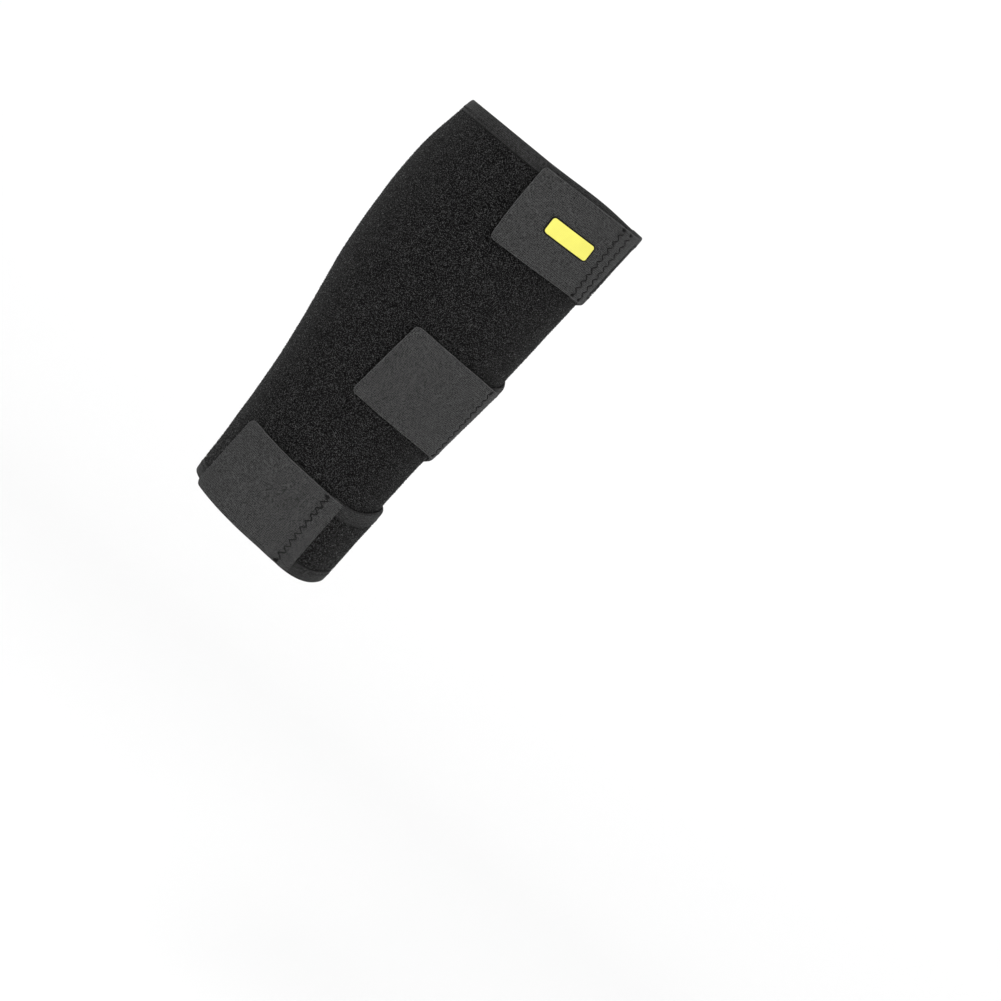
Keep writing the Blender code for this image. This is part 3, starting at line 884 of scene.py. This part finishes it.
def pile_look():
    made, tree, shader = nodes_of("pile_neoprene", 0.95, 0.025, 0.5, 0.05)
    spot = tree.nodes.new("ShaderNodeTexCoord").outputs["Object"]
    fine = noise(tree, spot, 1700.0, 2.0, 0.75)
    broad = noise(tree, spot, 90.0, 3.0)
    # The speckled grain is partly the pile's own tone and partly painted glints off its fibres.
    colour = ramp(tree, fine, ((0.42, grey(0.0002)), (0.53, grey(0.0028)), (0.64, grey(0.062))))
    tone = ramp(tree, broad, ((0.3, grey(0.80)), (0.7, grey(1.0))))
    tree.links.new(blend(tree, "MULTIPLY", colour, tone), shader.inputs["Base Color"])
    loops = add(tree, "ShaderNodeTexVoronoi", Scale=1500.0, Randomness=1.0)
    tree.links.new(spot, loops.inputs["Vector"])
    high = maths(tree, "SUBTRACT", fine, maths(tree, "MULTIPLY", loops.outputs["Distance"], 0.6))
    bump(tree, shader, high, 0.0005, 0.8)
    return made


def loops_look():
    made, tree, shader = nodes_of("pile_loops", 0.9, specular=0.1)
    spot = tree.nodes.new("ShaderNodeTexCoord").outputs["Object"]
    fine = noise(tree, spot, 600.0, 1.0)
    tree.links.new(ramp(tree, fine, ((0.35, grey(0.015)), (0.65, grey(0.130)))), shader.inputs["Base Color"])
    return made


def lining_look():
    made, tree, shader = nodes_of("smooth_lining", 0.75, 0.15, 0.4)
    spot = tree.nodes.new("ShaderNodeTexCoord").outputs["Object"]
    fine = noise(tree, spot, 1800.0, 1.0)
    colour = ramp(tree, fine, ((0.3, grey(0.030)), (0.7, grey(0.055))))
    tree.links.new(colour, shader.inputs["Base Color"])
    bump(tree, shader, fine, 0.00015, 0.6)
    return made


def knit(tree, spot, across, along):
    """A fine knit: ribs across the cloth, broken along them."""
    waves = []
    for direction, scale in (("X", across), ("Y", along)):
        wave = add(tree, "ShaderNodeTexWave", wave_type="BANDS", bands_direction=direction, Scale=scale)
        wave.inputs["Distortion"].default_value = 1.2
        wave.inputs["Detail"].default_value = 1.0
        wave.inputs["Detail Scale"].default_value = 2.0
        tree.links.new(spot, wave.inputs["Vector"])
        waves.append(wave.outputs["Fac"])
    return maths(tree, "MULTIPLY", waves[0], waves[1])


def cloth_look(name, low, high, roughness, sheen, edge=0.0, seam=False, stops=(0.36, 0.54)):
    """A fine dark cloth, with a painted highlight along its edges or painted shade along its inner edge where
    asked for.
    """
    made, tree, shader = nodes_of(name, roughness, sheen, 0.4, 0.2)
    source = tree.nodes.new("ShaderNodeTexCoord")
    weave = knit(tree, source.outputs["UV"], 330.0, 300.0)
    grain = noise(tree, source.outputs["Object"], 1500.0, 2.0, 0.75)
    broad = noise(tree, source.outputs["Object"], 110.0, 3.0)
    mixed = maths(tree, "ADD", maths(tree, "MULTIPLY", weave, 0.18), maths(tree, "MULTIPLY", grain, 0.82))
    colour = ramp(tree, mixed, ((stops[0], grey(low)), (stops[1], grey(high))))
    tone = ramp(tree, broad, ((0.3, grey(0.88)), (0.7, grey(1.0))))
    colour = blend(tree, "MULTIPLY", colour, tone)
    # Paint a highlight along the edges, where they catch the light.
    if edge:
        painted_highlight = add(tree, "ShaderNodeAttribute", attribute_name="edge_highlight")
        lighter = ramp(tree, painted_highlight.outputs["Fac"], ((0.25, grey(0.0)), (0.9, grey(edge))))
        colour = blend(tree, "ADD", colour, lighter)
    # Paint shade in the groove along the binding's inner edge, darkest at the edge and gone about a
    # millimetre in.
    if seam:
        across = tree.nodes.new("ShaderNodeSeparateXYZ")
        tree.links.new(source.outputs["UV"], across.inputs["Vector"])
        inner = maths(tree, "MULTIPLY", across.outputs["Y"], 500.0)
        colour = blend(tree, "MULTIPLY", colour, ramp(tree, inner, ((0.15, grey(0.12)), (0.45, grey(1.0)))))
    tree.links.new(colour, shader.inputs["Base Color"])
    bump(tree, shader, mixed, 0.00022, 0.7)
    return made


def thread_look():
    made, tree, shader = nodes_of("stitch_thread", 0.7, 0.0, 0.4, 0.08)
    spot = tree.nodes.new("ShaderNodeTexCoord").outputs["Object"]
    fine = noise(tree, spot, 2500.0, 1.0)
    tree.links.new(ramp(tree, fine, ((0.3, grey(0.002)), (0.7, grey(0.009)))), shader.inputs["Base Color"])
    return made


def label_look():
    made, tree, shader = nodes_of("label_field", 0.5, 0.1, 0.4, 0.4)
    source = tree.nodes.new("ShaderNodeTexCoord")
    weave = knit(tree, source.outputs["UV"], 500.0, 420.0)
    broad = noise(tree, source.outputs["Object"], 160.0, 2.0)
    colour = ramp(tree, weave, ((0.1, (0.70, 0.655, 0.105)), (0.8, (0.78, 0.735, 0.135))))
    tone = ramp(tree, broad, ((0.3, grey(0.94)), (0.7, grey(1.0))))
    tree.links.new(blend(tree, "MULTIPLY", colour, tone), shader.inputs["Base Color"])
    bump(tree, shader, weave, 0.00008, 0.5)
    return made


# The wrap


def build_tab(strap, cloth, hook_tape, thread):
    """A tab with its hook tape and zigzag rows, and its flat size."""
    wing_end, end = past_front(strap.wing_end), past_front(strap.tab_end)
    start, corner = tab_start(strap), STRAP_WIDTH * strap.corner

    def edges(turn):
        return tab_edges(strap, turn)

    def level(turn):
        return tab_level(strap, turn)

    def hook_edges(turn):
        low, high = tab_edges(strap, turn)
        return low + HOOK_INSET, high - HOOK_INSET

    def hook_level(turn):
        return PANEL_THICKNESS + LAYER_GAP + 0.0 * turn

    tab = build_patch(
        strap.name + "_tab_cloth", (start, end), edges, level, TAB_THICKNESS, strap.lean, (0.0, corner),
        cloth, lift=tab_lift(strap),
    )
    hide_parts(strap.name + "_tab")
    hook_start = wing_end + (HOOK_GAP + TAB_RAMP) / tab_scale(strap, wing_end)
    hook_end = end - HOOK_INSET / tab_scale(strap, end)
    hook = build_patch(
        strap.name + "_hook_tape", (hook_start, hook_end), hook_edges, hook_level, HOOK_THICKNESS,
        strap.lean, (0.0, corner - HOOK_INSET), hook_tape, edge_round=0.0001, step=0.004,
    )
    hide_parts(strap.name + "_hook")
    rows = threads(strap.name + "_zigzag", zigzag_rows(strap), thread)
    turns = np.linspace(start, end, 80)
    length = length_of(turns, tab_middle(strap, turns), tab_level(strap, turns) + TAB_THICKNESS / 2)
    low, high = tab_edges(strap, turns)
    return tab, [hook, rows], (float(np.max(high - low)), length)


def build_label():
    """The label's border and its bare field, on the upper tab."""
    start = past_front(LABEL_START)
    end = start + LABEL_LENGTH / tab_scale(UPPER, start)
    scale = LABEL_LENGTH / (end - start)

    def edges(turn):
        centre = tab_middle(UPPER, turn) + LABEL_RAISE
        return centre - LABEL_HEIGHT / 2, centre + LABEL_HEIGHT / 2

    def level(turn):
        return tab_level(UPPER, turn) + TAB_THICKNESS + LABEL_GAP

    def field_edges(turn):
        low, high = edges(turn)
        return low + LABEL_BORDER, high - LABEL_BORDER

    def field_level(turn):
        return level(turn) + FIELD_THICKNESS

    label = build_patch(
        "label_border", (start, end), edges, level, LABEL_THICKNESS, LABEL_LEAN, (LABEL_CORNER, LABEL_CORNER),
        cloth_look("label_border", 0.0005, 0.0025, 0.8, 0.0), edge_round=0.0002, leans=True,
    )
    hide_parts("label")
    field = build_patch(
        "label_field", (start + LABEL_BORDER / scale, end - LABEL_BORDER / scale), field_edges, field_level,
        FIELD_THICKNESS, LABEL_LEAN, (LABEL_CORNER - LABEL_BORDER, LABEL_CORNER - LABEL_BORDER),
        label_look(), edge_round=0.0001, leans=True,
    )
    return [label, field]


def build_wrap():
    pile, lining = pile_look(), lining_look()
    # The binding has painted shade along its inner edge.
    binding = cloth_look("binding_tape", 0.001, 0.036, 0.8, 0.02, seam=True, stops=(0.40, 0.52))
    # The smooth cloth has a painted highlight along its edges.
    smooth = cloth_look("smooth_cloth", 0.002, 0.055, 0.75, 0.03, edge=0.025)
    hook_tape = cloth_look("hook_tape", 0.004, 0.012, 0.5, 0.0)
    thread = thread_look()
    sheet, outline = build_sheet(pile, lining)
    tape = build_binding(outline, binding)
    loops = build_loops(loops_look())
    tabs = {strap.name: build_tab(strap, smooth, hook_tape, thread) for strap in STRAPS}
    row = threads("binding_zigzag", tape_stitches(outline), thread, radius=TAPE_THREAD_RADIUS, sides=5)
    tabs["upper"][1].extend(build_label())

    sheet_size, sheet_area = flat_size(outline)


# Camera, floor and lights


def set_camera():
    """The view from the outer side, rolled as the wrap leans in the picture."""
    distance, elevation, roll = 2.2, radians(4.5), radians(39.307)
    # the picture's width at the wrap, its pixels, the wrap's place in it and a last shift
    field, pixels, wrap_at, shift = 0.581, 1001, (406, 350), (-0.00387, -0.0003)
    aside, down = [(at - pixels / 2) * (field / pixels) for at in wrap_at]
    right_by = aside * cos(roll) + down * sin(roll) + shift[0]
    up_by = aside * sin(roll) - down * cos(roll) + shift[1]
    forward = Vector((0.0, cos(elevation), -sin(elevation)))
    right, up = Vector((1.0, 0.0, 0.0)), Vector((0.0, sin(elevation), cos(elevation)))
    target = -(right * right_by + up * up_by)
    image_up = up * cos(roll) - right * sin(roll)
    image_right = right * cos(roll) + up * sin(roll)
    camera = bpy.data.objects.new("camera", bpy.data.cameras.new("camera"))
    bpy.context.scene.collection.objects.link(camera)
    turned = Matrix((image_right, image_up, -forward)).transposed().to_4x4()
    camera.matrix_world = Matrix.Translation(target - forward * distance) @ turned
    camera.data.sensor_fit = "HORIZONTAL"
    camera.data.sensor_width = 36.0
    camera.data.lens = camera.data.sensor_width * distance / field
    camera.data.clip_end = 50.0
    camera.data.dof.use_dof = False
    bpy.context.scene.camera = camera


def set_stage():
    """A pale floor that sweeps up into a pale wall."""
    made, _, shader = nodes_of("stage", 0.9, specular=0.1)
    shader.inputs["Base Color"].default_value = (0.94, 0.94, 0.94, 1.0)
    side, front, floor, bend, radius, top = 6.0, -5.0, -0.46, 1.6, 1.0, 4.0
    angles = np.linspace(0, pi / 2, 24)[1:]
    profile = [(front, floor), (bend, floor)]
    profile += [(bend + radius * sin(a), floor + radius * (1 - cos(a))) for a in angles]
    profile.append((bend + radius, top))
    points = [(x, y, z) for x in (-side, side) for y, z in profile]
    n = len(profile)
    faces = [(k, k + n, k + n + 1, k + 1) for k in range(n - 1)]
    mesh = bpy.data.meshes.new("stage")
    mesh.from_pydata(points, [], faces)
    mesh.shade_smooth()
    mesh.materials.append(made)
    stage = bpy.data.objects.new("stage", mesh)
    bpy.context.scene.collection.objects.link(stage)


def light(name, place, size, energy):
    """A square light that faces the wrap."""
    data = bpy.data.lights.new(name, "AREA")
    data.shape = "SQUARE"
    data.size = size
    data.energy = energy
    lamp = bpy.data.objects.new(name, data)
    lamp.location = place
    lamp.rotation_euler = (-Vector(place)).to_track_quat("-Z", "Y").to_euler()
    bpy.context.scene.collection.objects.link(lamp)


def set_lights():
    world = bpy.data.worlds.new("studio")
    world.use_nodes = True
    background = world.node_tree.nodes["Background"]
    background.inputs["Color"].default_value = (1.0, 1.0, 1.0, 1.0)
    background.inputs["Strength"].default_value = 0.90
    bpy.context.scene.world = world
    bpy.context.scene.view_settings.view_transform = "Standard"
    light("key", (-1.0, -2.4, 1.6), 1.2, 32.0)
    light("fill", (1.8, -1.8, 0.6), 1.4, 16.0)


build_wrap()
set_camera()
set_stage()
set_lights()
